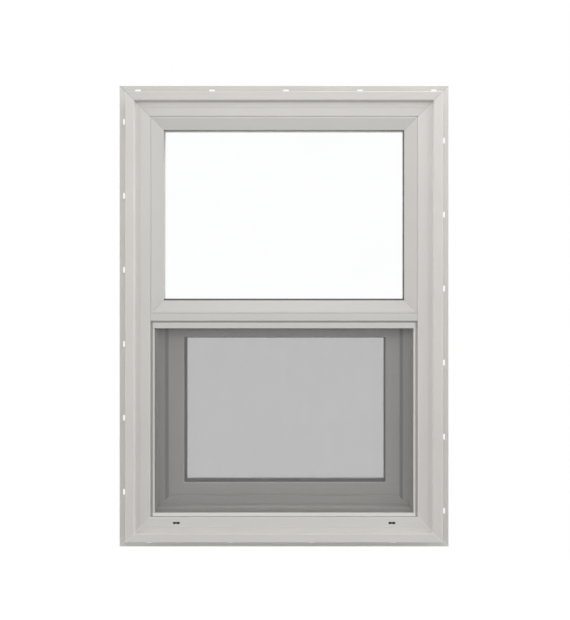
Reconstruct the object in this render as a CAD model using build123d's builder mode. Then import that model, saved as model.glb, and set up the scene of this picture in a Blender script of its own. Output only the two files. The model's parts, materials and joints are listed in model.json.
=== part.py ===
"""Single-hung vinyl window with nailing fins, in millimetres.

+X is right seen from outside, +Y runs into the building and +Z is up. The origin lies on the
back face of the bottom fin, in the middle of its length and width, where it meets the wall.
Sections are drawn in u, the distance in from the frame's outer wall, and y, the depth.
"""

import os
from math import sqrt

from build123d import *

# Overall size, measured at the frame's outer wall
net_width = 603.25
net_height = 869.95

# Nailing fin and its slots
fin_width = 31.75
fin_thickness = 2.0
slot_length = 12.0
slot_width = 3.6
slot_edge = 9.0
slot_pitch = 150.0
sill_slot_pitch = 165.0
head_slot_phase = 4.0
sill_slot_phase = 26.0
jamb_slot_phase = 19.0

# Frame depths, from the fin's back face
channel_depth = 33.0
channel_lip = 2.6
face_setback = 10.0
lip_thickness = 2.2
screen_depth = 9.8
unit_thickness = 18.0
leg_thickness = 4.0
track_depth = 36.0
room_leg_thickness = 3.0

# Frame distances in from the outer wall
channel_reach = 14.4
rim_width = 2.3
rim_draft = 1.8
face_width = 33.7
lip_overlap = 2.5
sill_lip_overlap = 7.4
unit_floor = 46.0
leg_reach = 59.5
track_floor = 45.2
room_leg_reach = 55.2
sill_rise = 6.0
sill_fall = 1.5
sill_leg_rise = 10.5

# Side of the square groove that cleaning leaves along a welded mitre
weld_groove = 0.7

# Corner radii of the frame's section
fin_round = 0.5
channel_round = 0.6
rim_round = 1.2
rim_inner_round = 1.0
wall_round = 0.8
lip_round = 1.6
lip_back_round = 0.5
floor_round = 1.0
leg_round = 1.6
room_leg_round = 0.8
room_round = 1.0
rail_round = 1.0

# Ridge on the frame's face
ridge_place = 13.6
ridge_width = 2.0
ridge_height = 0.7

# Balance pocket and channel in each jamb
pocket_floor = 25.2
pocket_width = 20.0
balance_width = 18.0
balance_depth = 16.0
balance_wall = 1.2
balance_length = 330.0
balance_top_gap = 40.0

# Weep slots in the sill's face, each with a web across its middle
weep_length = 14.0
weep_width = 4.4
weep_depth = 8.0
weep_web = 3.0
weep_web_depth = 1.2
weep_place = 21.7
weep_spread = 432.0

# Meeting rail
rail_low = 442.5
rail_face = 14.8
rail_clearance = 0.3

# Exterior glazing bead
bead_reach = 59.5
bead_clearance = 0.3
bead_front = 1.0
bead_shoulder = 3.0
bead_edge = 2.6
bead_mitre_gap = 0.1
bead_lip_round = 0.4
bead_shoulder_round = 2.5
bead_edge_round = 1.2

# Insulated units
pane_thickness = 3.0
unit_clearance = 2.0
glazing_gap = 0.1
upper_shift = -1.5
upper_lift = 1.4
sash_sight = 3.8
sash_unit_shift = 1.4
sash_unit_lift = 1.9
spacer_back = 4.0

# Sash
sash_clearance = 4.0
sash_shift = 1.7
sash_width = 46.8
sash_front_gap = 2.0
sash_thickness = 32.5
sash_leg = 3.0
sash_rebate = 12.0
sash_bevel = 1.5
sash_overlap = 12.2
sash_bead_reach = 1.0
sash_bead_edge = 2.0
sash_bead_top = 3.0
sash_round = 1.0
sash_edge_round = 0.5
sash_bead_edge_round = 0.8
sash_bead_top_round = 1.5

# Insect screen
screen_clearance = 0.3
screen_setback = 1.0
screen_side_flange = 6.8
screen_side_bar = 3.6
screen_end_height = 14.8
screen_top_flange = 3.2
screen_flange_depth = 5.0
screen_bar_round = 0.8
screen_flange_round = 0.4
spline_size = 2.4
spline_cover = 1.0
mesh_thickness = 0.4

# Weatherstrips
pile_width = 6.9
pile_inset = 1.0
seal_width = 18.0
seal_height = 3.0
seal_round = 1.2

# Sash lock, keeper, latches and lift
lock_length = 64.0
lock_width = 20.0
lock_base_height = 5.0
lock_taper = 8.0
lock_hub_radius = 9.0
lock_hub_height = 5.0
lock_edge = 0.8
lever_length = 44.0
lever_width = 10.0
lever_thickness = 4.0
keeper_width = 40.0
keeper_height = 18.0
keeper_plate = 2.5
keeper_hook = 8.0
keeper_lift = 4.0
latch_length = 58.0
latch_width = 17.0
latch_height = 3.5
latch_inset = 8.0
latch_thumb = 4.5
lift_length = 220.0
lift_height = 16.0
lift_plate = 2.5
lift_reach = 12.0
lift_low = 12.0
lift_round = 1.0

# Places that follow from the sizes above
half_width = net_width / 2
bottom = fin_width / 2
top = bottom + net_height
rim_face = -channel_depth
face = rim_face + face_setback
lip_back = face + lip_thickness
screen_floor = face_width - lip_overlap
sill_floor = face_width - sill_lip_overlap
step = lip_back + screen_depth
leg_front = step + unit_thickness
leg_back = leg_front + leg_thickness
room_leg = leg_back + track_depth
room_face = room_leg + room_leg_thickness
sash_outer = track_floor + sash_clearance
sash_front = leg_back + sash_front_gap
sash_back = sash_front + sash_thickness
sash_floor = sash_width - sash_rebate
sash_unit_front = sash_front + sash_leg
sash_unit_back = sash_unit_front + unit_thickness
sash_half_width = half_width - sash_outer
sash_low = bottom + track_floor + seal_height
sash_high = rail_low + sash_overlap
light_low = rail_low + rail_face - face_width
head_slots = int(net_width // slot_pitch) + 1
sill_slots = int(net_width // sill_slot_pitch) + 1
jamb_slots = int(net_height // slot_pitch) + 1
frame_seams = [
    (-channel_reach, rim_width, rim_face),
    (rim_width + rim_draft, face_width, face),
    (-fin_width, -channel_reach, -fin_thickness),
    (0, room_leg_reach, room_face),
]


def sides(half, low, high, shift=0.0):
    """The four edges of a rectangle: for each, a section plane (u, y) at mid length, and a span."""
    middle = (low + high) / 2
    return {
        "top": (Plane((shift, 0, high), x_dir=(0, 0, -1), z_dir=(1, 0, 0)), 2 * half),
        "bottom": (Plane((shift, 0, low), x_dir=(0, 0, 1), z_dir=(-1, 0, 0)), 2 * half),
        "left": (Plane((shift - half, 0, middle), x_dir=(1, 0, 0), z_dir=(0, 0, 1)), high - low),
        "right": (Plane((shift + half, 0, middle), x_dir=(-1, 0, 0), z_dir=(0, 0, -1)), high - low),
    }


def straight_bar(plane, outline, half_length):
    """A bar of the outlined section (u, y, corner radius), cut square at both ends."""
    with BuildPart() as bar:
        with BuildSketch(plane):
            with BuildLine():
                FilletPolyline(
                    *[(u, y) for u, y, _ in outline],
                    radius=[radius for _, _, radius in outline],
                    close=True,
                )
            make_face()
        extrude(amount=half_length, both=True)
    return bar


def mitred_bar(side, outline, gap=0.0, seams=()):
    """A bar of the outlined section, cut at 45 degrees at both ends, short by a gap where asked.

    Each seam (from u, to u, y) is the line of a weld across a flat face, grooved by half its width.
    """
    plane, span = side
    overhang = max(0, -min(u for u, _, _ in outline))
    with BuildPart() as bar:
        add(straight_bar(plane, outline, span / 2 + overhang).part)
        for end in (-1, 1):
            corner = plane.from_local_coords((0, 0, end * span / 2))
            mitre = Plane(corner, z_dir=plane.x_dir + plane.z_dir * end)
            split(bisect_by=mitre.offset(-gap), keep=Keep.BOTTOM)
            for near, far, depth in seams:
                start = plane.from_local_coords((near, depth, end * (span / 2 - near)))
                with BuildSketch(
                    Plane(start, x_dir=mitre.z_dir, z_dir=plane.x_dir - plane.z_dir * end)
                ):
                    Rectangle(weld_groove, weld_groove, rotation=45)
                extrude(amount=(far - near) * sqrt(2), mode=Mode.SUBTRACT)
    return bar


def finish(piece, name):
    """Label a finished piece and write it out."""
    piece.part.label = name
    export_step(piece.part, f"parts/{name}.step")


def rebate_outline(floor=screen_floor, rise=0.0, fall=0.0, leg_rise=0.0):
    """The part of a section that holds a unit: lip, bead seat, unit floor and leg."""
    return [
        (face_width, face, lip_round),
        (face_width, lip_back, lip_back_round),
        (floor, lip_back, 0),
        (floor, step, 0),
        (unit_floor + rise - fall, step, floor_round),
        (unit_floor + rise, leg_front, 0),
        (leg_reach + leg_rise, leg_front, leg_round),
        (leg_reach + leg_rise, leg_back, leg_round),
    ]


def frame_outline(rebate):
    """The frame's section, with fin, siding channel, stepped face, rebate and sash track."""
    return [
        (-fin_width, 0, 0),
        (-fin_width, -fin_thickness, fin_round),
        (0, -fin_thickness, 0),
        (0, rim_face + channel_lip, 0),
        (-channel_reach, rim_face + channel_lip, channel_round),
        (-channel_reach, rim_face, rim_round),
        (rim_width, rim_face, rim_inner_round),
        (rim_width + rim_draft, face, wall_round),
        (ridge_place, face, 0),
        (ridge_place + ridge_width / 4, face - ridge_height, 0),
        (ridge_place + ridge_width * 3 / 4, face - ridge_height, 0),
        (ridge_place + ridge_width, face, 0),
        *rebate,
        (track_floor, leg_back, 0),
        (track_floor, room_leg, 0),
        (room_leg_reach, room_leg, room_leg_round),
        (room_leg_reach, room_face, room_leg_round),
        (0, room_face, room_round),
        (0, 0, 0),
    ]


def slot_row(count, pitch, phase):
    """Places along a fin of its nail slots."""
    return [phase + (i - (count - 1) / 2) * pitch for i in range(count)]


def frame_member(side, outline, slots, pocket=False, weeps=False):
    """One side of the frame: the mitred bar with nail slots, balance pocket and weep slots."""
    plane, span = side
    with BuildPart() as member:
        add(mitred_bar(side, outline, seams=frame_seams).part)
        with BuildSketch(Plane(plane.origin, x_dir=plane.z_dir, z_dir=(0, 1, 0))):
            with Locations(*[(place, slot_edge - fin_width) for place in slots]):
                SlotOverall(slot_length, slot_width)
        extrude(amount=-fin_thickness, mode=Mode.SUBTRACT)
        if pocket:
            with BuildSketch(plane):
                with Locations((pocket_floor, (leg_back + room_leg) / 2)):
                    Rectangle(
                        track_floor - pocket_floor,
                        pocket_width,
                        align=(Align.MIN, Align.CENTER),
                    )
            extrude(amount=span / 2, both=True, mode=Mode.SUBTRACT)
        if weeps:
            places = [(-weep_spread / 2, weep_place), (weep_spread / 2, weep_place)]
            for web, depth in ((0, weep_web_depth), (weep_web, weep_depth)):
                with BuildSketch(
                    Plane((0, face, plane.origin.Z), x_dir=(1, 0, 0), z_dir=(0, -1, 0))
                ):
                    with Locations(*places):
                        SlotOverall(weep_length, weep_width)
                    if web:
                        with Locations(*places):
                            Rectangle(web, weep_width, mode=Mode.SUBTRACT)
                extrude(amount=-depth, mode=Mode.SUBTRACT)
    return member


def box_between(low, high):
    """A plain block between two corners."""
    with BuildPart() as block:
        with Locations(low):
            Box(*[b - a for a, b in zip(low, high)], align=(Align.MIN,) * 3)
    return block


def pane(half, low, high, front, shift=0.0):
    """One sheet of glass."""
    return box_between(
        (shift - half, front, low), (shift + half, front + pane_thickness, high)
    )


def ring(half, low, high, front, depth, outer, inner, shift=0.0):
    """A flat rectangular ring, between two distances in from a rectangle's edges."""
    middle = (low + high) / 2
    with BuildPart() as band:
        with BuildSketch(Plane((shift, front, middle), x_dir=(1, 0, 0), z_dir=(0, 1, 0))):
            Rectangle(2 * (half - outer), high - low - 2 * outer)
            Rectangle(2 * (half - inner), high - low - 2 * inner, mode=Mode.SUBTRACT)
        extrude(amount=depth)
    return band


os.makedirs("parts", exist_ok=True)

# Frame
frame_sides = sides(half_width, bottom, top)
finish(
    frame_member(
        frame_sides["top"],
        frame_outline(rebate_outline()),
        slot_row(head_slots, slot_pitch, head_slot_phase),
    ),
    "frame_head",
)
finish(
    frame_member(
        frame_sides["bottom"],
        frame_outline(rebate_outline(sill_floor, sill_rise, sill_fall, sill_leg_rise)),
        slot_row(sill_slots, sill_slot_pitch, sill_slot_phase),
        weeps=True,
    ),
    "frame_sill",
)
for hand in ("left", "right"):
    finish(
        frame_member(
            frame_sides[hand],
            frame_outline(rebate_outline()),
            slot_row(jamb_slots, slot_pitch, jamb_slot_phase),
            pocket=True,
        ),
        f"frame_{hand}_jamb",
    )

# Meeting rail, fixed between the jambs under the upper light
light_sides = sides(half_width, light_low, top)
rail_ends = half_width - screen_floor - rail_clearance
rail_outline = [
    (face_width - rail_face, face, rail_round),
    *rebate_outline(),
    (face_width - rail_face, leg_back, rail_round),
]
with BuildPart() as meeting_rail:
    add(straight_bar(light_sides["bottom"][0], rail_outline, rail_ends).part)
    notches = (
        (face_width, face, lip_back),
        (unit_floor, step, leg_front),
        (leg_reach, leg_front, leg_back),
    )
    for reach, front, back in notches:
        with BuildSketch(Plane((0, front, light_low), x_dir=(1, 0, 0), z_dir=(0, 1, 0))):
            Rectangle(2 * half_width, 2 * net_height)
            Rectangle(2 * (half_width - reach), 2 * net_height, mode=Mode.SUBTRACT)
        extrude(amount=back - front, mode=Mode.SUBTRACT)
finish(meeting_rail, "meeting_rail")

# Exterior glazing beads of the upper light
bead_outer = screen_floor + bead_clearance
bead_face = face + bead_front
bead_outline = [
    (bead_outer, step, 0),
    (bead_outer, lip_back + bead_clearance, 0),
    (face_width + bead_clearance, lip_back + bead_clearance, 0),
    (face_width + bead_clearance, bead_face, bead_lip_round),
    (face_width + bead_shoulder, bead_face, bead_shoulder_round),
    (bead_reach, step - bead_edge, bead_edge_round),
    (bead_reach, step, 0),
]
bead_names = {"top": "head", "bottom": "rail", "left": "left", "right": "right"}
for edge, name in bead_names.items():
    finish(mitred_bar(light_sides[edge], bead_outline, gap=bead_mitre_gap), f"upper_bead_{name}")

# Upper insulated unit, its spacer in line with the bead's edge
spacer_depth = unit_thickness - 2 * pane_thickness - 4 * glazing_gap
upper_inset = unit_floor + unit_clearance
upper_half = half_width - upper_inset
upper_low = light_low + upper_inset + upper_lift
upper_high = top - upper_inset + upper_lift
upper_front = step + glazing_gap
upper_back = leg_front - glazing_gap - pane_thickness
upper_outer_pane = pane(upper_half, upper_low, upper_high, upper_front, upper_shift)
upper_inner_pane = pane(upper_half, upper_low, upper_high, upper_back, upper_shift)
upper_spacer = ring(
    upper_half,
    upper_low,
    upper_high,
    upper_front + pane_thickness + glazing_gap,
    spacer_depth,
    spacer_back,
    bead_reach - upper_inset,
    upper_shift,
)
finish(upper_outer_pane, "upper_outer_pane")
finish(upper_inner_pane, "upper_inner_pane")
finish(upper_spacer, "upper_spacer")

# Sash members, mitred and welded
sash_sides = sides(sash_half_width, sash_low, sash_high, sash_shift)
sash_outline = [
    (0, sash_front, sash_round),
    (sash_width - sash_bevel, sash_front, sash_edge_round),
    (sash_width, sash_front + sash_bevel, sash_edge_round),
    (sash_width, sash_unit_front, 0),
    (sash_floor, sash_unit_front, 0),
    (sash_floor, sash_back, sash_edge_round),
    (0, sash_back, sash_round),
]
sash_seams = [(0, sash_width, sash_front), (0, sash_floor, sash_back)]
sash_names = {
    "top": "sash_top_rail",
    "bottom": "sash_bottom_rail",
    "left": "sash_left_stile",
    "right": "sash_right_stile",
}
for edge, name in sash_names.items():
    finish(mitred_bar(sash_sides[edge], sash_outline, seams=sash_seams), name)

# Sash beads on the room side
sash_bead_outline = [
    (sash_floor, sash_unit_back, 0),
    (sash_width + sash_bead_reach, sash_unit_back, 0),
    (sash_width + sash_bead_reach, sash_unit_back + sash_bead_edge, sash_bead_edge_round),
    (sash_floor + sash_bead_top, sash_back, sash_bead_top_round),
    (sash_floor, sash_back, 0),
]
for edge in sash_names:
    finish(
        mitred_bar(sash_sides[edge], sash_bead_outline, gap=bead_mitre_gap), f"sash_bead_{edge}"
    )

# Sash insulated unit, its spacer showing inside the sash's edge
unit_inset = sash_floor + unit_clearance
unit_half = sash_half_width - unit_inset
unit_low = sash_low + unit_inset + sash_unit_lift
unit_high = sash_high - unit_inset + sash_unit_lift
unit_shift = sash_shift + sash_unit_shift
unit_front = sash_unit_front + glazing_gap
unit_back = sash_unit_back - glazing_gap - pane_thickness
sash_outer_pane = pane(unit_half, unit_low, unit_high, unit_front, unit_shift)
sash_inner_pane = pane(unit_half, unit_low, unit_high, unit_back, unit_shift)
sash_spacer = ring(
    unit_half,
    unit_low,
    unit_high,
    unit_front + pane_thickness + glazing_gap,
    spacer_depth,
    spacer_back,
    sash_width + sash_sight - unit_inset,
    unit_shift,
)
finish(sash_outer_pane, "sash_outer_pane")
finish(sash_inner_pane, "sash_inner_pane")
finish(sash_spacer, "sash_spacer")

# Insect screen, standing on the sill in front of the sash
screen_half = half_width - screen_floor - screen_clearance
screen_low = bottom + sill_floor
screen_high = rail_low - screen_clearance
screen_back = step - screen_clearance
screen_front = face + screen_setback
flange_front = screen_back - screen_flange_depth
spline_front = screen_back - spline_size
mesh_front = spline_front - mesh_thickness
side_inner = screen_side_flange + screen_side_bar
side_groove = side_inner - spline_size - spline_cover
end_groove = screen_end_height - spline_size - spline_cover
end_flanges = {
    "top": screen_top_flange,
    "bottom": screen_top_flange + sill_lip_overlap - lip_overlap,
}
mesh_half = screen_half - side_groove
mesh_low = screen_low + end_groove
mesh_high = screen_high - end_groove
screen_sides = sides(screen_half, screen_low, screen_high)
side_outline = [
    (0, screen_back, 0),
    (0, flange_front, screen_flange_round),
    (screen_side_flange, flange_front, 0),
    (screen_side_flange, screen_front, screen_bar_round),
    (side_inner, screen_front, screen_bar_round),
    (side_inner, mesh_front, 0),
    (side_groove, mesh_front, 0),
    (side_groove, screen_back, 0),
]
for edge in ("left", "right"):
    plane, span = screen_sides[edge]
    finish(straight_bar(plane, side_outline, span / 2 - screen_end_height), f"screen_{edge}_bar")
for edge, flange in end_flanges.items():
    plane, span = screen_sides[edge]
    end_outline = [
        (0, screen_back, 0),
        (0, flange_front, 0),
        (flange, flange_front, 0),
        (flange, screen_front, screen_bar_round),
        (screen_end_height, screen_front, screen_bar_round),
        (screen_end_height, screen_back, 0),
    ]
    with BuildPart() as end_bar:
        add(straight_bar(plane, end_outline, span / 2).part)
        with BuildSketch(
            Plane((0, flange_front, plane.origin.Z), x_dir=(1, 0, 0), z_dir=(0, -1, 0))
        ):
            Rectangle(span, 2 * screen_end_height)
            Rectangle(span - 2 * screen_side_flange, 2 * screen_end_height, mode=Mode.SUBTRACT)
        extrude(amount=flange_front - screen_front, mode=Mode.SUBTRACT)
        with BuildSketch(plane):
            with Locations((end_groove, mesh_front)):
                Rectangle(
                    screen_end_height, screen_back - mesh_front, align=(Align.MIN, Align.MIN)
                )
        extrude(amount=mesh_half, both=True, mode=Mode.SUBTRACT)
    finish(end_bar, f"screen_{edge}_bar")

screen_mesh = box_between(
    (-mesh_half, mesh_front, mesh_low), (mesh_half, spline_front, mesh_high)
)
finish(screen_mesh, "screen_mesh")
screen_spline = ring(mesh_half, mesh_low, mesh_high, spline_front, spline_size, 0, spline_size)
finish(screen_spline, "screen_spline")

# Balance channels, screwed to the floors of the jamb pockets
pocket_middle = (leg_back + room_leg) / 2
balance_high = top - track_floor - balance_top_gap
for hand, sign in (("left", 1), ("right", -1)):
    with BuildPart() as balance:
        with BuildSketch(
            Plane(
                (-sign * (half_width - pocket_floor), pocket_middle, balance_high),
                x_dir=(sign, 0, 0),
                z_dir=(0, 0, -1),
            )
        ):
            Rectangle(balance_depth, balance_width, align=(Align.MIN, Align.CENTER))
            with Locations((balance_wall, 0)):
                Rectangle(
                    balance_depth,
                    balance_width - 2 * balance_wall,
                    align=(Align.MIN, Align.CENTER),
                    mode=Mode.SUBTRACT,
                )
        extrude(amount=balance_length)
    finish(balance, f"{hand}_balance")

# Pile strips between the sash and the frame, and the seal under the sash
pile_far = half_width - leg_reach + pile_inset
for hand, sign in (("left", -1), ("right", 1)):
    edges = sorted((sign * pile_far, sign * (pile_far - pile_width)))
    strip = box_between((edges[0], leg_back, sash_low), (edges[1], sash_front, rail_low))
    finish(strip, f"{hand}_pile")
rail_pile_half = pile_far - pile_width
rail_pile_low = rail_low + (sash_overlap - pile_width) / 2
meeting_pile = box_between(
    (-rail_pile_half, leg_back, rail_pile_low),
    (rail_pile_half, sash_front, rail_pile_low + pile_width),
)
finish(meeting_pile, "meeting_pile")

seal_low = bottom + track_floor
with BuildPart() as sash_bottom_seal:
    with BuildSketch(
        Plane((sash_shift, pocket_middle, seal_low), x_dir=(0, 1, 0), z_dir=(1, 0, 0))
    ):
        RectangleRounded(seal_width, seal_height, seal_round, align=(Align.CENTER, Align.MIN))
    extrude(amount=sash_half_width, both=True)
finish(sash_bottom_seal, "sash_bottom_seal")

# Sash lock on the top rail, its lever, and the keeper on the meeting rail
lock_middle = sash_back - sash_thickness / 2
with BuildPart() as lock_base:
    with BuildSketch(Plane((0, lock_middle, sash_high), x_dir=(1, 0, 0), z_dir=(0, 0, 1))):
        SlotOverall(lock_length, lock_width)
    extrude(amount=lock_base_height, taper=lock_taper)
    with BuildSketch(Plane.XY.offset(sash_high + lock_base_height)):
        with Locations((0, lock_middle)):
            Circle(lock_hub_radius)
    extrude(amount=lock_hub_height)
finish(lock_base, "sash_lock_base")

lever_low = sash_high + lock_base_height + lock_hub_height
with BuildPart() as lock_lever:
    with BuildSketch(Plane.XY.offset(lever_low)):
        with Locations((0, lock_middle)):
            Circle(lock_hub_radius)
        with Locations((-lever_length / 2, lock_middle)):
            SlotOverall(lever_length, lever_width)
    extrude(amount=lever_thickness)
    chamfer(lock_lever.edges().group_by(Axis.Z)[-1], length=lock_edge)
finish(lock_lever, "sash_lock_lever")

keeper_low = sash_high + keeper_lift
with BuildPart() as keeper:
    with BuildSketch(Plane((0, leg_back, keeper_low), x_dir=(0, 1, 0), z_dir=(1, 0, 0))):
        Rectangle(keeper_plate, keeper_height, align=(Align.MIN, Align.MIN))
        Rectangle(keeper_hook, keeper_plate, align=(Align.MIN, Align.MIN))
        with Locations((keeper_hook - keeper_plate, 0)):
            Rectangle(keeper_plate, keeper_height / 2, align=(Align.MIN, Align.MIN))
    extrude(amount=keeper_width / 2, both=True)
finish(keeper, "sash_keeper")

# Tilt latches on top of the sash, near its ends
latch_middle = sash_half_width - latch_inset - latch_length / 2
for hand, sign in (("left", -1), ("right", 1)):
    latch_place = sash_shift + sign * latch_middle
    with BuildPart() as latch:
        with BuildSketch(
            Plane((latch_place, lock_middle, sash_high), x_dir=(1, 0, 0), z_dir=(0, 0, 1))
        ):
            RectangleRounded(latch_length, latch_width, latch_width / 4)
        extrude(amount=latch_height)
        with BuildSketch(
            Plane(
                (latch_place, lock_middle, sash_high + latch_height),
                x_dir=(1, 0, 0),
                z_dir=(0, 0, 1),
            )
        ):
            SlotOverall(latch_length / 2, 2 * latch_thumb)
        extrude(amount=-latch_height / 2, mode=Mode.SUBTRACT)
    finish(latch, f"{hand}_tilt_latch")

# Finger lift on the room side of the bottom rail
with BuildPart() as finger_lift:
    with BuildSketch(Plane((0, sash_back, sash_low + lift_low), x_dir=(0, 1, 0), z_dir=(1, 0, 0))):
        Rectangle(lift_plate, lift_height, align=(Align.MIN, Align.MIN))
        with Locations((0, lift_height - lift_plate)):
            Rectangle(lift_reach, lift_plate, align=(Align.MIN, Align.MIN))
        with Locations((lift_reach - lift_plate, lift_height / 2)):
            Rectangle(lift_plate, lift_height / 2, align=(Align.MIN, Align.MIN))
    extrude(amount=lift_length / 2, both=True)
    fillet(finger_lift.edges().filter_by(Axis.X).group_by(Axis.Y)[-1], radius=lift_round)
finish(finger_lift, "finger_lift")
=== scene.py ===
"""Looks of a single-hung vinyl window: camera, light, materials, insect mesh and small fasteners.

Metres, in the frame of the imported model: +X right seen from outside, +Y into the building, +Z up.
"""

import json
import math

import bpy
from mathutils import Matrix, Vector


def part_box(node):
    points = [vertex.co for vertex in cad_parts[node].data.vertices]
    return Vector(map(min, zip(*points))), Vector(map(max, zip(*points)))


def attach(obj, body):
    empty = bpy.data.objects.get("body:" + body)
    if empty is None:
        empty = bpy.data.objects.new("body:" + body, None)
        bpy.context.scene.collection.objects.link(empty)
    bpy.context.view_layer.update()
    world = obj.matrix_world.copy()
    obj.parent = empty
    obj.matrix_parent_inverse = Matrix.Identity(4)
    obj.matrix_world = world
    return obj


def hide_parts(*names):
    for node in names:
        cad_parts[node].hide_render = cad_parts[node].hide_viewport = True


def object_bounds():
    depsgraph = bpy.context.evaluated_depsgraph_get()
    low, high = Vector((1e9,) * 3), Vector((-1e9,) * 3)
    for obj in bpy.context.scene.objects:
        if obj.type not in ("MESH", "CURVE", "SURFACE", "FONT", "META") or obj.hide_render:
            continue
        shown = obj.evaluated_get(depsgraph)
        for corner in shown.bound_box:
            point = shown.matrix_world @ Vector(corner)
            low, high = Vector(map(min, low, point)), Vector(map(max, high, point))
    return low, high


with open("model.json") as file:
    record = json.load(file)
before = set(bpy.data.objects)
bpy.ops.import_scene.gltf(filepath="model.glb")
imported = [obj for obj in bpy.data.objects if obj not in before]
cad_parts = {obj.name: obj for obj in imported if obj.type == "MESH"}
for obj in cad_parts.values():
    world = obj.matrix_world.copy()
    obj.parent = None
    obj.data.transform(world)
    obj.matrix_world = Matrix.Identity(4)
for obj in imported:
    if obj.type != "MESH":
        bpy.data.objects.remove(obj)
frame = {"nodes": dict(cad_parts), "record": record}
cad_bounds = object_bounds()

# Camera: the photograph's size, the pixel on the camera's axis, and a pixel's size at the outer lip
IMAGE_SIZE = (570, 620)
AXIS_PIXEL = (284.05, 270)
PIXEL_AT_LIP = 0.001992
CAMERA_DISTANCE = 1.8
CAMERA_HEIGHT = 0.5444
SENSOR = 36.0

# Sky: its light all round, and what its top and its two sides add
SKY_ROUND = 0.17
SKY_TOP = 0.05
SKY_SIDES = 1.92

# Lamps, which all face the middle of the window
LAMPS = {
    "key": {"place": (0.85, -0.85, 1.50), "size": 0.5, "power": 2.6},
    "front": {"place": (0.0, -1.70, 1.50), "size": 0.6, "power": 7.7},
    "rim": {"place": (0.40, 0.70, 1.55), "size": 0.6, "power": 7.5},
}

# Floor: its drop below the window, its width, its colour, and its colour and glow as a background
FLOOR_DROP = 1.0
FLOOR_SIZE = 6.0
FLOOR_COLOUR = (0.5, 0.5, 0.5)
FLOOR_SEEN = (0.35, 0.35, 0.35)
FLOOR_GLOW = 0.88

# Noise: the values between which a finish goes from end to end of its range, and its detail
NOISE_LOW = 0.3
NOISE_HIGH = 0.7
NOISE_DETAIL = 3.0

# Vinyl: its common colour, linear, slow clouds of tone in it, its gloss, and light that goes into it
VINYL = (0.72, 0.70, 0.672)
CLOUD_SCALE = 7.0
CLOUD_TONE = 0.015
VINYL_ROUGHNESS = (0.36, 0.46)
VINYL_SPECULAR = 0.4
VINYL_DEPTH_SHARE = 0.4
VINYL_DEPTH = 0.0025

# Draw lines in the vinyl: their scale and relief, and how they stretch along an upright or level bar
DRAW_SCALE = 700.0
DRAW_DETAIL = 2.0
DRAW_RELIEF = 0.00001
DRAW_STRENGTH = 0.3
DRAWN_ALONG = {"upright": (1, 1, 0.02), "level": (0.02, 1, 1)}

# Painted light and shade on the vinyl, one tone for each member by how its nodes' names begin: the sill
# lighter as painted light from above, the head, meeting rail and upper beads darker as painted shade,
# and what is fixed to the sash lighter to lift the shade behind the insect mesh
VINYL_LIGHT_TONES = {
    "frame_head": 0.93,
    "frame_left_jamb": 1.01,
    "frame_right_jamb": 1.01,
    "frame_sill": 1.05,
    "meeting_rail": 0.94,
    "upper_bead": 0.91,
    "sash": 1.16,
}

# Weld seams along the frame's mitres: half their width, and their tone at the top and bottom corners;
# the seams are real, their tone is painted light, painted shade at the top and a painted highlight at
# the bottom
WELD_HALF_WIDTH = 0.0016
WELD_TOP_SHADE = 0.9
WELD_BOTTOM_HIGHLIGHT = 1.18

# Screen bars: the colour of their coat, linear, and each bar's tone, which is painted light and shade:
# the top bar darker as painted shadow from the meeting rail above, the bottom bar lighter as painted
# light from above, the side bars a little darker as painted shade
SCREEN_PAINT = (0.75, 0.735, 0.705)
SCREEN_FINISH = {"roughness": 0.4, "grain": 1200.0}
SCREEN_LIGHT_TONES = {
    "screen_top_bar": 0.86,
    "screen_bottom_bar": 1.11,
    "screen_left_bar": 0.92,
    "screen_right_bar": 0.97,
}

# Plain finishes: colours, linear, roughness, and the scale of the fine grain
STEEL = (0.52, 0.53, 0.54)
FINISHES = {
    "spacer": {"colour": (0.06, 0.061, 0.063), "roughness": 0.55, "grain": 1500.0},
    "spline_rubber": {"colour": (0.018, 0.018, 0.019), "roughness": 0.6, "grain": 1500.0},
    "pile": {"colour": (0.42, 0.42, 0.425), "roughness": 0.95, "grain": 3000.0, "relief": 0.0003},
    "seal_rubber": {"colour": (0.12, 0.12, 0.123), "roughness": 0.6, "grain": 1500.0},
    "hardware_paint": {"colour": SCREEN_PAINT, "roughness": 0.28, "grain": 1600.0},
    "balance_steel": {"colour": STEEL, "roughness": 0.35, "grain": 700.0, "metallic": 1.0},
    "screw_steel": {"colour": STEEL, "roughness": 0.3, "grain": 1800.0, "metallic": 1.0},
    "mesh_yarn": {"colour": (0.27, 0.27, 0.268), "roughness": 0.6, "grain": 2500.0},
    # The two weep entries are painted shade: near black where the chamber behind the weep slots gets no
    # light, dark grey on the web across each slot
    "weep_chamber_shade": {"colour": (0.03, 0.03, 0.029), "roughness": 0.8, "grain": 900.0},
    "weep_web": {"colour": (0.15, 0.148, 0.144), "roughness": 0.6, "grain": 900.0},
}

# Grain of the plain finishes: how far it changes tone and roughness, and its relief
GRAIN_TONE = 0.07
GRAIN_ROUGHNESS = 0.1
GRAIN_RELIEF = 0.00005
GRAIN_STRENGTH = 0.6

# The plain finish of each of the record's material slots that has one
SLOT_FINISHES = {
    "spacer": "spacer",
    "black_rubber": "spline_rubber",
    "grey_pile": "pile",
    "grey_rubber": "seal_rubber",
    "hardware": "hardware_paint",
    "balance_steel": "balance_steel",
}

# Glass: colours, linear, what its shadow lets through, and the smears on it
CLEAR_GLASS = (0.995, 0.998, 0.997)
COATED_GLASS = (0.879, 0.8765, 0.878)
GLASS_SHADOW = (0.9, 0.91, 0.905)
GLASS_IOR = 1.5
SMEAR_SCALE = 4.0
SMEAR_STRETCH = (1, 1, 2)
SMEAR_TONE = 0.993
SMEAR_ROUGHNESS = 0.012

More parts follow.
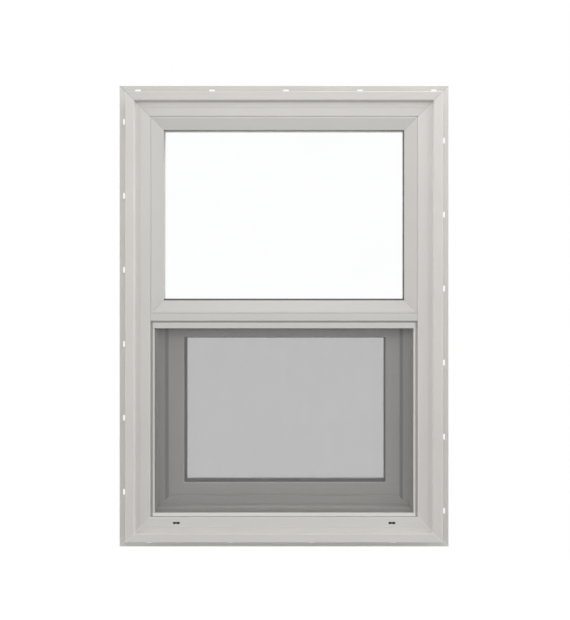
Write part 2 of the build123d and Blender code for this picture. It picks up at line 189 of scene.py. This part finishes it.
# Insect mesh: the yarns' pitch, diameter, how far each way lies off the middle, and their sides
YARN_PITCH = 0.0014
YARN_DIAMETER = 0.00036
YARN_OFFSET = YARN_DIAMETER / 4
YARN_SIDES = 6

# Soft lip of the rail's bead: its gap to the glass, height, and thickness at its tip and base
LIP_GAP = 0.00003
LIP_HEIGHT = 0.0036
LIP_TIP = 0.0002
LIP_BASE = 0.0008

# Weep slots in the sill: their middle across and up, half their size, and the depths where the painted
# shade on the web and in the chamber begins
WEEP_PLACE = (0.216, 0.0376)
WEEP_HALF_SIZE = (0.0072, 0.0024)
SILL_FACE = -0.023
WEB_DEPTH = 0.0006
CHAMBER_DEPTH = 0.0015

# Screw heads: radius, height, corners, and rings up to the top as shares of radius and height
SCREW_RADIUS = 0.0032
SCREW_HEIGHT = 0.0015
SCREW_CORNERS = 16
SCREW_RINGS = ((1.0, -0.1), (1.0, 0.3), (0.86, 0.75), (0.62, 1.0))

# Cross recess in a screw head: a quarter of its edge as shares of the radius, and its narrower floor
RECESS_EDGE = (0.50, 0.30, 0.16, 0.30)
RECESS_FLOOR_WIDTH = 0.6
RECESS_FLOOR_HEIGHT = 0.4

# Where the screws sit on the lock, its keeper and the balance channels
LOCK_SCREW_SPREAD = 0.048
LOCK_BASE_HEIGHT = 0.005
KEEPER_SCREW_SPREAD = 0.026
KEEPER_SCREW_DROP = 0.0045
KEEPER_PLATE = 0.0025
BALANCE_SCREW_DROP = 0.015
BALANCE_WALL = 0.0012


def new_material(name):
    """A material with its node tree and its shader."""
    material = bpy.data.materials.new(name)
    material.use_nodes = True
    return material, material.node_tree, material.node_tree.nodes["Principled BSDF"]


def arithmetic(tree, operation, *terms):
    """The result of a sum on sockets and plain numbers."""
    node = tree.nodes.new("ShaderNodeMath")
    node.operation = operation
    for term, socket in zip(terms, node.inputs):
        if isinstance(term, float):
            socket.default_value = term
        else:
            tree.links.new(term, socket)
    return node.outputs[0]


def coordinates(tree, kind):
    """The sockets across, along the depth and up, of a kind of texture coordinate."""
    place = tree.nodes.new("ShaderNodeTexCoord")
    split = tree.nodes.new("ShaderNodeSeparateXYZ")
    tree.links.new(place.outputs[kind], split.inputs["Vector"])
    return split.outputs["X"], split.outputs["Y"], split.outputs["Z"]


def object_noise(tree, scale, stretch=(1, 1, 1), detail=NOISE_DETAIL):
    """Noise in the part's own coordinates, stretched along an axis where asked."""
    place = tree.nodes.new("ShaderNodeTexCoord")
    mapping = tree.nodes.new("ShaderNodeMapping")
    mapping.inputs["Scale"].default_value = stretch
    noise = tree.nodes.new("ShaderNodeTexNoise")
    noise.inputs["Scale"].default_value = scale
    noise.inputs["Detail"].default_value = detail
    tree.links.new(place.outputs["Object"], mapping.inputs["Vector"])
    tree.links.new(mapping.outputs["Vector"], noise.inputs["Vector"])
    return noise.outputs["Fac"]


def spread(tree, value, low, high):
    """A noise value spread over a range."""
    ramp = tree.nodes.new("ShaderNodeMapRange")
    ramp.inputs["From Min"].default_value = NOISE_LOW
    ramp.inputs["From Max"].default_value = NOISE_HIGH
    ramp.inputs["To Min"].default_value = low
    ramp.inputs["To Max"].default_value = high
    tree.links.new(value, ramp.inputs["Value"])
    return ramp.outputs["Result"]


def tinted(tree, value, dark, light):
    """A colour between two, by a value; each is a colour or a socket."""
    mix = tree.nodes.new("ShaderNodeMix")
    mix.data_type = "RGBA"
    for colour, end in ((dark, "A"), (light, "B")):
        if isinstance(colour, tuple):
            mix.inputs[end].default_value = (*colour, 1)
        else:
            tree.links.new(colour, mix.inputs[end])
    tree.links.new(value, mix.inputs["Factor"])
    return mix.outputs["Result"]


def shade(colour, factor):
    """A colour made lighter or darker."""
    return tuple(c * factor for c in colour)


def bumped(tree, shader, value, distance, strength):
    """Relief from a value."""
    bump = tree.nodes.new("ShaderNodeBump")
    bump.inputs["Distance"].default_value = distance
    bump.inputs["Strength"].default_value = strength
    tree.links.new(value, bump.inputs["Height"])
    tree.links.new(bump.outputs["Normal"], shader.inputs["Normal"])


def mixed(tree, factor, first, second):
    """Two shaders mixed by a factor."""
    mix = tree.nodes.new("ShaderNodeMixShader")
    tree.links.new(factor, mix.inputs["Fac"])
    tree.links.new(first.outputs[0], mix.inputs[1])
    tree.links.new(second.outputs[0], mix.inputs[2])
    return mix.outputs[0]


def weld_seams_in_painted_light(tree, colour, vinyl):
    """A colour with the cleaned, welded seams along the mitres, paler at the bottom than at the top as
    painted light: a painted highlight below, painted shade above.
    """
    across, _, height = coordinates(tree, "Object")
    low, high = cad_bounds
    from_side = arithmetic(tree, "SUBTRACT", high[0], arithmetic(tree, "ABSOLUTE", across))
    from_top = arithmetic(tree, "SUBTRACT", high[2], height)
    from_bottom = arithmetic(tree, "SUBTRACT", height, low[2])
    from_end = arithmetic(tree, "MINIMUM", from_top, from_bottom)
    off = arithmetic(tree, "ABSOLUTE", arithmetic(tree, "SUBTRACT", from_side, from_end))
    # A seam at 45 degrees is wider by the root of two when it is measured level or upright
    seam = tree.nodes.new("ShaderNodeMapRange")
    seam.inputs["From Max"].default_value = WELD_HALF_WIDTH * math.sqrt(2)
    seam.inputs["To Min"].default_value = 1.0
    seam.inputs["To Max"].default_value = 0.0
    tree.links.new(off, seam.inputs["Value"])
    # Painted light on the seams: a painted highlight at the bottom corners, painted shade at the top
    # ones
    upper = arithmetic(tree, "LESS_THAN", from_top, from_bottom)
    seam_in_painted_light = tinted(tree, upper, shade(vinyl, WELD_BOTTOM_HIGHLIGHT), shade(vinyl, WELD_TOP_SHADE))
    return tinted(tree, seam.outputs["Result"], colour, seam_in_painted_light)


def vinyl_material(member, way):
    """Extruded vinyl: draw lines along the bar, slow tone changes, a soft gloss, light that goes in,
    and the member's tone of painted light and shade.
    """
    material, tree, shader = new_material(f"{member}_vinyl_{way}")
    # The member's tone is painted light and shade: one vinyl made lighter or darker by how light falls
    # on the member
    vinyl = shade(VINYL, VINYL_LIGHT_TONES[member])
    lines = object_noise(tree, DRAW_SCALE, DRAWN_ALONG[way], DRAW_DETAIL)
    tone = spread(tree, object_noise(tree, CLOUD_SCALE), 0.0, 1.0)
    colour = tinted(tree, tone, shade(vinyl, 1 - CLOUD_TONE), shade(vinyl, 1 + CLOUD_TONE))
    if member.startswith("frame"):
        colour = weld_seams_in_painted_light(tree, colour, vinyl)
    tree.links.new(colour, shader.inputs["Base Color"])
    tree.links.new(spread(tree, lines, *VINYL_ROUGHNESS), shader.inputs["Roughness"])
    shader.inputs["Specular IOR Level"].default_value = VINYL_SPECULAR
    shader.inputs["Subsurface Weight"].default_value = VINYL_DEPTH_SHARE
    shader.inputs["Subsurface Scale"].default_value = VINYL_DEPTH
    shader.inputs["Subsurface Radius"].default_value = (1.0, 1.0, 1.0)
    bumped(tree, shader, lines, DRAW_RELIEF, DRAW_STRENGTH)
    return material


def plain_material(name, colour, roughness, grain, metallic=0.0, relief=GRAIN_RELIEF):
    """A moulded, painted, rubber or metal finish with fine grain."""
    material, tree, shader = new_material(name)
    speckle = object_noise(tree, grain)
    tone = spread(tree, speckle, 0.0, 1.0)
    speckled = tinted(tree, tone, shade(colour, 1 - GRAIN_TONE), shade(colour, 1 + GRAIN_TONE))
    rough_ends = (roughness * (1 - GRAIN_ROUGHNESS), roughness * (1 + GRAIN_ROUGHNESS))
    tree.links.new(speckled, shader.inputs["Base Color"])
    tree.links.new(spread(tree, speckle, *rough_ends), shader.inputs["Roughness"])
    shader.inputs["Metallic"].default_value = metallic
    bumped(tree, shader, speckle, relief, GRAIN_STRENGTH)
    return material


def glass_material(name, colour):
    """Float glass with a trace of smears in its gloss, which lets light on to what is behind."""
    material, tree, shader = new_material(name)
    smear = object_noise(tree, SMEAR_SCALE, SMEAR_STRETCH)
    tone = spread(tree, smear, 0.0, 1.0)
    tree.links.new(tinted(tree, tone, shade(colour, SMEAR_TONE), colour), shader.inputs["Base Color"])
    tree.links.new(spread(tree, smear, 0.0, SMEAR_ROUGHNESS), shader.inputs["Roughness"])
    shader.inputs["Transmission Weight"].default_value = 1.0
    shader.inputs["IOR"].default_value = GLASS_IOR
    path = tree.nodes.new("ShaderNodeLightPath")
    clear = tree.nodes.new("ShaderNodeBsdfTransparent")
    clear.inputs["Color"].default_value = (*GLASS_SHADOW, 1)
    surface = mixed(tree, path.outputs["Is Shadow Ray"], shader, clear)
    tree.links.new(surface, tree.nodes["Material Output"].inputs["Surface"])
    return material


def dress(names, material):
    """Give CAD nodes a material."""
    for name in names:
        mesh = frame["nodes"][name].data
        mesh.materials.clear()
        mesh.materials.append(material)


def dress_vinyl(names):
    """Dress each vinyl member in its tone of painted light and shade, with the draw lines along it."""
    materials = {}
    for name in names:
        member = next((start for start in VINYL_LIGHT_TONES if name.startswith(start)), "sash")
        way = "upright" if "left" in name or "right" in name else "level"
        if (member, way) not in materials:
            materials[member, way] = vinyl_material(member, way)
        dress([name], materials[member, way])


def dress_screen(names):
    """Dress each bar of the screen in its tone of the one screen colour; the tones are painted light
    and shade.
    """
    for name in names:
        # Each bar's tone is painted light and shade on the one colour
        paint_in_light = shade(SCREEN_PAINT, SCREEN_LIGHT_TONES[name])
        dress([name], plain_material(f"{name}_paint", paint_in_light, **SCREEN_FINISH))


def darken_weeps(chamber, web):
    """Painted shade in the sill's weep slots: near black on the faces deep in, where the hollow chamber
    behind gets no light, and dark grey on the web across each slot.
    """
    mesh = frame["nodes"]["frame_sill"].data
    mesh.materials.append(chamber)
    mesh.materials.append(web)
    for polygon in mesh.polygons:
        x, y, z = polygon.center
        within_width = abs(abs(x) - WEEP_PLACE[0]) < WEEP_HALF_SIZE[0]
        within_height = abs(z - WEEP_PLACE[1]) < WEEP_HALF_SIZE[1]
        # Painted shade: faces deep in the slot get the near black, those nearer the front the dark grey
        if within_width and within_height and SILL_FACE + WEB_DEPTH < y < 0:
            polygon.material_index = 1 if y > SILL_FACE + CHAMBER_DEPTH else 2


def add_skin(rings, vertices, faces):
    """Join rings of corners, in order, into one closed skin with flat ends.

    Seen from the last ring's side, each ring's corners run anticlockwise.
    """
    first = len(vertices)
    corners = len(rings[0])
    for ring in rings:
        vertices.extend(ring)
    last = len(vertices) - corners
    for start in range(first, last, corners):
        for i in range(corners):
            j = (i + 1) % corners
            faces.append((start + i, start + j, start + corners + j, start + corners + i))
    faces.append(tuple(reversed(range(first, first + corners))))
    faces.append(tuple(range(last, last + corners)))


def add_piece(name, vertices, faces, material):
    """A new piece that rides with the window."""
    mesh = bpy.data.meshes.new(name)
    mesh.from_pydata(vertices, [], faces)
    mesh.materials.append(material)
    piece = bpy.data.objects.new(name, mesh)
    bpy.context.collection.objects.link(piece)
    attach(piece, "root")
    return piece


def spokes(axis, side, corners):
    """Unit vectors round an axis, anticlockwise from one side of it."""
    other = axis.cross(side)
    angles = [2 * math.pi * i / corners for i in range(corners)]
    return [side * math.cos(angle) + other * math.sin(angle) for angle in angles]


def add_yarn(start, end, vertices, faces):
    """One straight yarn of the insect mesh, as a prism of few sides."""
    axis = (end - start).normalized()
    side = axis.cross(Vector((0, 1, 0)))
    offsets = [spoke * YARN_DIAMETER / 2 for spoke in spokes(axis, side, YARN_SIDES)]
    rings = [[point + offset for offset in offsets] for point in (start, end)]
    add_skin(rings, vertices, faces)


def insect_mesh(material):
    """The screen's yarns, crossing and fused, in the place of the CAD sheet."""
    low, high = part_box("screen_mesh")
    middle = (low[1] + high[1]) / 2
    vertices, faces = [], []
    columns = int((high[0] - low[0]) / YARN_PITCH)
    rows = int((high[2] - low[2]) / YARN_PITCH)
    y = middle - YARN_OFFSET
    for i in range(1, columns):
        x = low[0] + (high[0] - low[0]) * i / columns
        add_yarn(Vector((x, y, low[2])), Vector((x, y, high[2])), vertices, faces)
    y = middle + YARN_OFFSET
    for i in range(1, rows):
        z = low[2] + (high[2] - low[2]) * i / rows
        add_yarn(Vector((low[0], y, z)), Vector((high[0], y, z)), vertices, faces)
    piece = add_piece("insect_mesh", vertices, faces, material)
    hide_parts("screen_mesh")


def bead_lip(material):
    """The soft lip on the edge of the meeting rail's bead, which leans on the upper glass."""
    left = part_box("upper_bead_left")[1][0]
    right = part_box("upper_bead_right")[0][0]
    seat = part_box("upper_bead_rail")[1][2]
    tip = seat + LIP_HEIGHT
    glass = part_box("upper_outer_pane")[0][1] - LIP_GAP
    section = ((glass, seat), (glass, tip), (glass - LIP_TIP, tip), (glass - LIP_BASE, seat))
    rings = [[(x, y, z) for y, z in section] for x in (left, right)]
    vertices, faces = [], []
    add_skin(rings, vertices, faces)
    add_piece("rail_bead_lip", vertices, faces, material)


def add_screw(seat, axis, vertices, faces):
    """A pan-head screw with a cross recess, its head standing on a seat."""
    axis = Vector(axis)
    side = axis.orthogonal().normalized()
    levels = [(height, [radius] * len(RECESS_EDGE)) for radius, height in SCREW_RINGS]
    levels.append((1.0, RECESS_EDGE))
    levels.append((RECESS_FLOOR_HEIGHT, [share * RECESS_FLOOR_WIDTH for share in RECESS_EDGE]))
    rings = []
    for height, radii in levels:
        middle = Vector(seat) + axis * SCREW_HEIGHT * height
        ring = []
        for i, spoke in enumerate(spokes(axis, side, SCREW_CORNERS)):
            ring.append(middle + spoke * SCREW_RADIUS * radii[i % len(radii)])
        rings.append(ring)
    add_skin(rings, vertices, faces)


def fix_hardware(material):
    """Screws through the lock, its keeper and the balance channels, in one piece for each of them."""
    places = {"lock_screws": [], "keeper_screws": [], "balance_screws": []}
    low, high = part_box("sash_lock_base")
    y, z = (low[1] + high[1]) / 2, low[2] + LOCK_BASE_HEIGHT
    for x in (-LOCK_SCREW_SPREAD / 2, LOCK_SCREW_SPREAD / 2):
        places["lock_screws"].append(((x, y, z), (0, 0, 1)))
    low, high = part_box("sash_keeper")
    y, z = low[1] + KEEPER_PLATE, high[2] - KEEPER_SCREW_DROP
    for x in (-KEEPER_SCREW_SPREAD / 2, KEEPER_SCREW_SPREAD / 2):
        places["keeper_screws"].append(((x, y, z), (0, 1, 0)))
    for node, end, inward in (("left_balance", 0, 1), ("right_balance", 1, -1)):
        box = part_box(node)
        x = box[end][0] + inward * BALANCE_WALL
        y = (box[0][1] + box[1][1]) / 2
        for z in (box[1][2] - BALANCE_SCREW_DROP, box[0][2] + BALANCE_SCREW_DROP):
            places["balance_screws"].append(((x, y, z), (inward, 0, 0)))
    for name, seats in places.items():
        vertices, faces = [], []
        for seat, axis in seats:
            add_screw(seat, axis, vertices, faces)
        add_piece(name, vertices, faces, material)


def place_camera():
    """Camera square to the window, with the shift that the photograph's framing needs."""
    data = bpy.data.cameras.new("camera")
    data.sensor_width = SENSOR
    data.lens = SENSOR * CAMERA_DISTANCE / (PIXEL_AT_LIP * IMAGE_SIZE[1])
    data.shift_x = (IMAGE_SIZE[0] / 2 - AXIS_PIXEL[0]) / IMAGE_SIZE[1]
    data.shift_y = (AXIS_PIXEL[1] - IMAGE_SIZE[1] / 2) / IMAGE_SIZE[1]
    camera = bpy.data.objects.new("camera", data)
    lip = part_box("frame_head")[0][1]
    camera.location = (0, lip - CAMERA_DISTANCE, CAMERA_HEIGHT)
    camera.rotation_euler = (math.pi / 2, 0, 0)
    bpy.context.collection.objects.link(camera)
    bpy.context.scene.camera = camera


def seen_directly(tree):
    """One for rays that show the background: from the camera, off gloss, or through glass."""
    path = tree.nodes.new("ShaderNodeLightPath")
    seen = path.outputs["Is Camera Ray"]
    for ray in ("Is Glossy Ray", "Is Transmission Ray"):
        seen = arithmetic(tree, "MAXIMUM", seen, path.outputs[ray])
    return seen


def light_world():
    """A white background, and a soft sky that lights more from above and from both sides."""
    world = bpy.data.worlds.new("studio")
    world.use_nodes = True
    tree = world.node_tree
    tree.nodes.clear()
    across, _, height = coordinates(tree, "Generated")
    strength = arithmetic(tree, "MULTIPLY_ADD", height, SKY_TOP, SKY_ROUND)
    squared = arithmetic(tree, "MULTIPLY", across, across)
    strength = arithmetic(tree, "MULTIPLY_ADD", squared, SKY_SIDES, strength)
    sky = tree.nodes.new("ShaderNodeBackground")
    tree.links.new(strength, sky.inputs["Strength"])
    white = tree.nodes.new("ShaderNodeBackground")
    for shader in (sky, white):
        shader.inputs["Color"].default_value = (1, 1, 1, 1)
    output = tree.nodes.new("ShaderNodeOutputWorld")
    surface = mixed(tree, seen_directly(tree), sky, white)
    tree.links.new(surface, output.inputs["Surface"])
    bpy.context.scene.world = world


def hang_lamp(name, place, size, power):
    """A soft square lamp that faces the middle of the window."""
    data = bpy.data.lights.new(name, "AREA")
    data.shape = "SQUARE"
    data.size = size
    data.energy = power
    lamp = bpy.data.objects.new(name, data)
    lamp.location = place
    low, high = cad_bounds
    middle = (Vector(low) + Vector(high)) / 2
    lamp.rotation_euler = (middle - Vector(place)).to_track_quat("-Z", "Y").to_euler()
    bpy.context.collection.objects.link(lamp)


def floor_material():
    """Pale and matt; rays that show the background find it white, but for the shadow on it."""
    material, tree, shader = new_material("floor")
    tree.nodes.remove(shader)
    plain = tree.nodes.new("ShaderNodeBsdfDiffuse")
    plain.inputs["Color"].default_value = (*FLOOR_COLOUR, 1)
    seen = tree.nodes.new("ShaderNodeBsdfDiffuse")
    seen.inputs["Color"].default_value = (*FLOOR_SEEN, 1)
    glow = tree.nodes.new("ShaderNodeEmission")
    glow.inputs["Strength"].default_value = FLOOR_GLOW
    bright = tree.nodes.new("ShaderNodeAddShader")
    tree.links.new(seen.outputs[0], bright.inputs[0])
    tree.links.new(glow.outputs[0], bright.inputs[1])
    surface = mixed(tree, seen_directly(tree), plain, bright)
    tree.links.new(surface, tree.nodes["Material Output"].inputs["Surface"])
    return material


def lay_floor():
    """A plain pale floor, well below the window, as under a wall."""
    level = cad_bounds[0][2] - FLOOR_DROP
    half = FLOOR_SIZE / 2
    corners = [(-half, -half, level), (half, -half, level), (half, half, level), (-half, half, level)]
    mesh = bpy.data.meshes.new("floor")
    mesh.from_pydata(corners, [], [(0, 1, 2, 3)])
    floor = bpy.data.objects.new("floor", mesh)
    bpy.context.collection.objects.link(floor)
    mesh.materials.append(floor_material())


slot_nodes = {}
for part in frame["record"]["subparts"]:
    slot_nodes.setdefault(part["material_slot"], []).append(part["node"])
finishes = {name: plain_material(name, **facts) for name, facts in FINISHES.items()}

dress_vinyl(slot_nodes["vinyl"])
dress_screen(slot_nodes["screen_frame"])
dress(["upper_outer_pane", "upper_inner_pane"], glass_material("clear_glass", CLEAR_GLASS))
dress(["sash_outer_pane", "sash_inner_pane"], glass_material("coated_glass", COATED_GLASS))
for slot_name, finish in SLOT_FINISHES.items():
    dress(slot_nodes[slot_name], finishes[finish])
darken_weeps(finishes["weep_chamber_shade"], finishes["weep_web"])
insect_mesh(finishes["mesh_yarn"])
bead_lip(finishes["seal_rubber"])
fix_hardware(finishes["screw_steel"])

place_camera()
light_world()
for lamp_name, lamp_facts in LAMPS.items():
    hang_lamp(lamp_name, **lamp_facts)
lay_floor()
bpy.context.scene.view_settings.view_transform = "Standard"
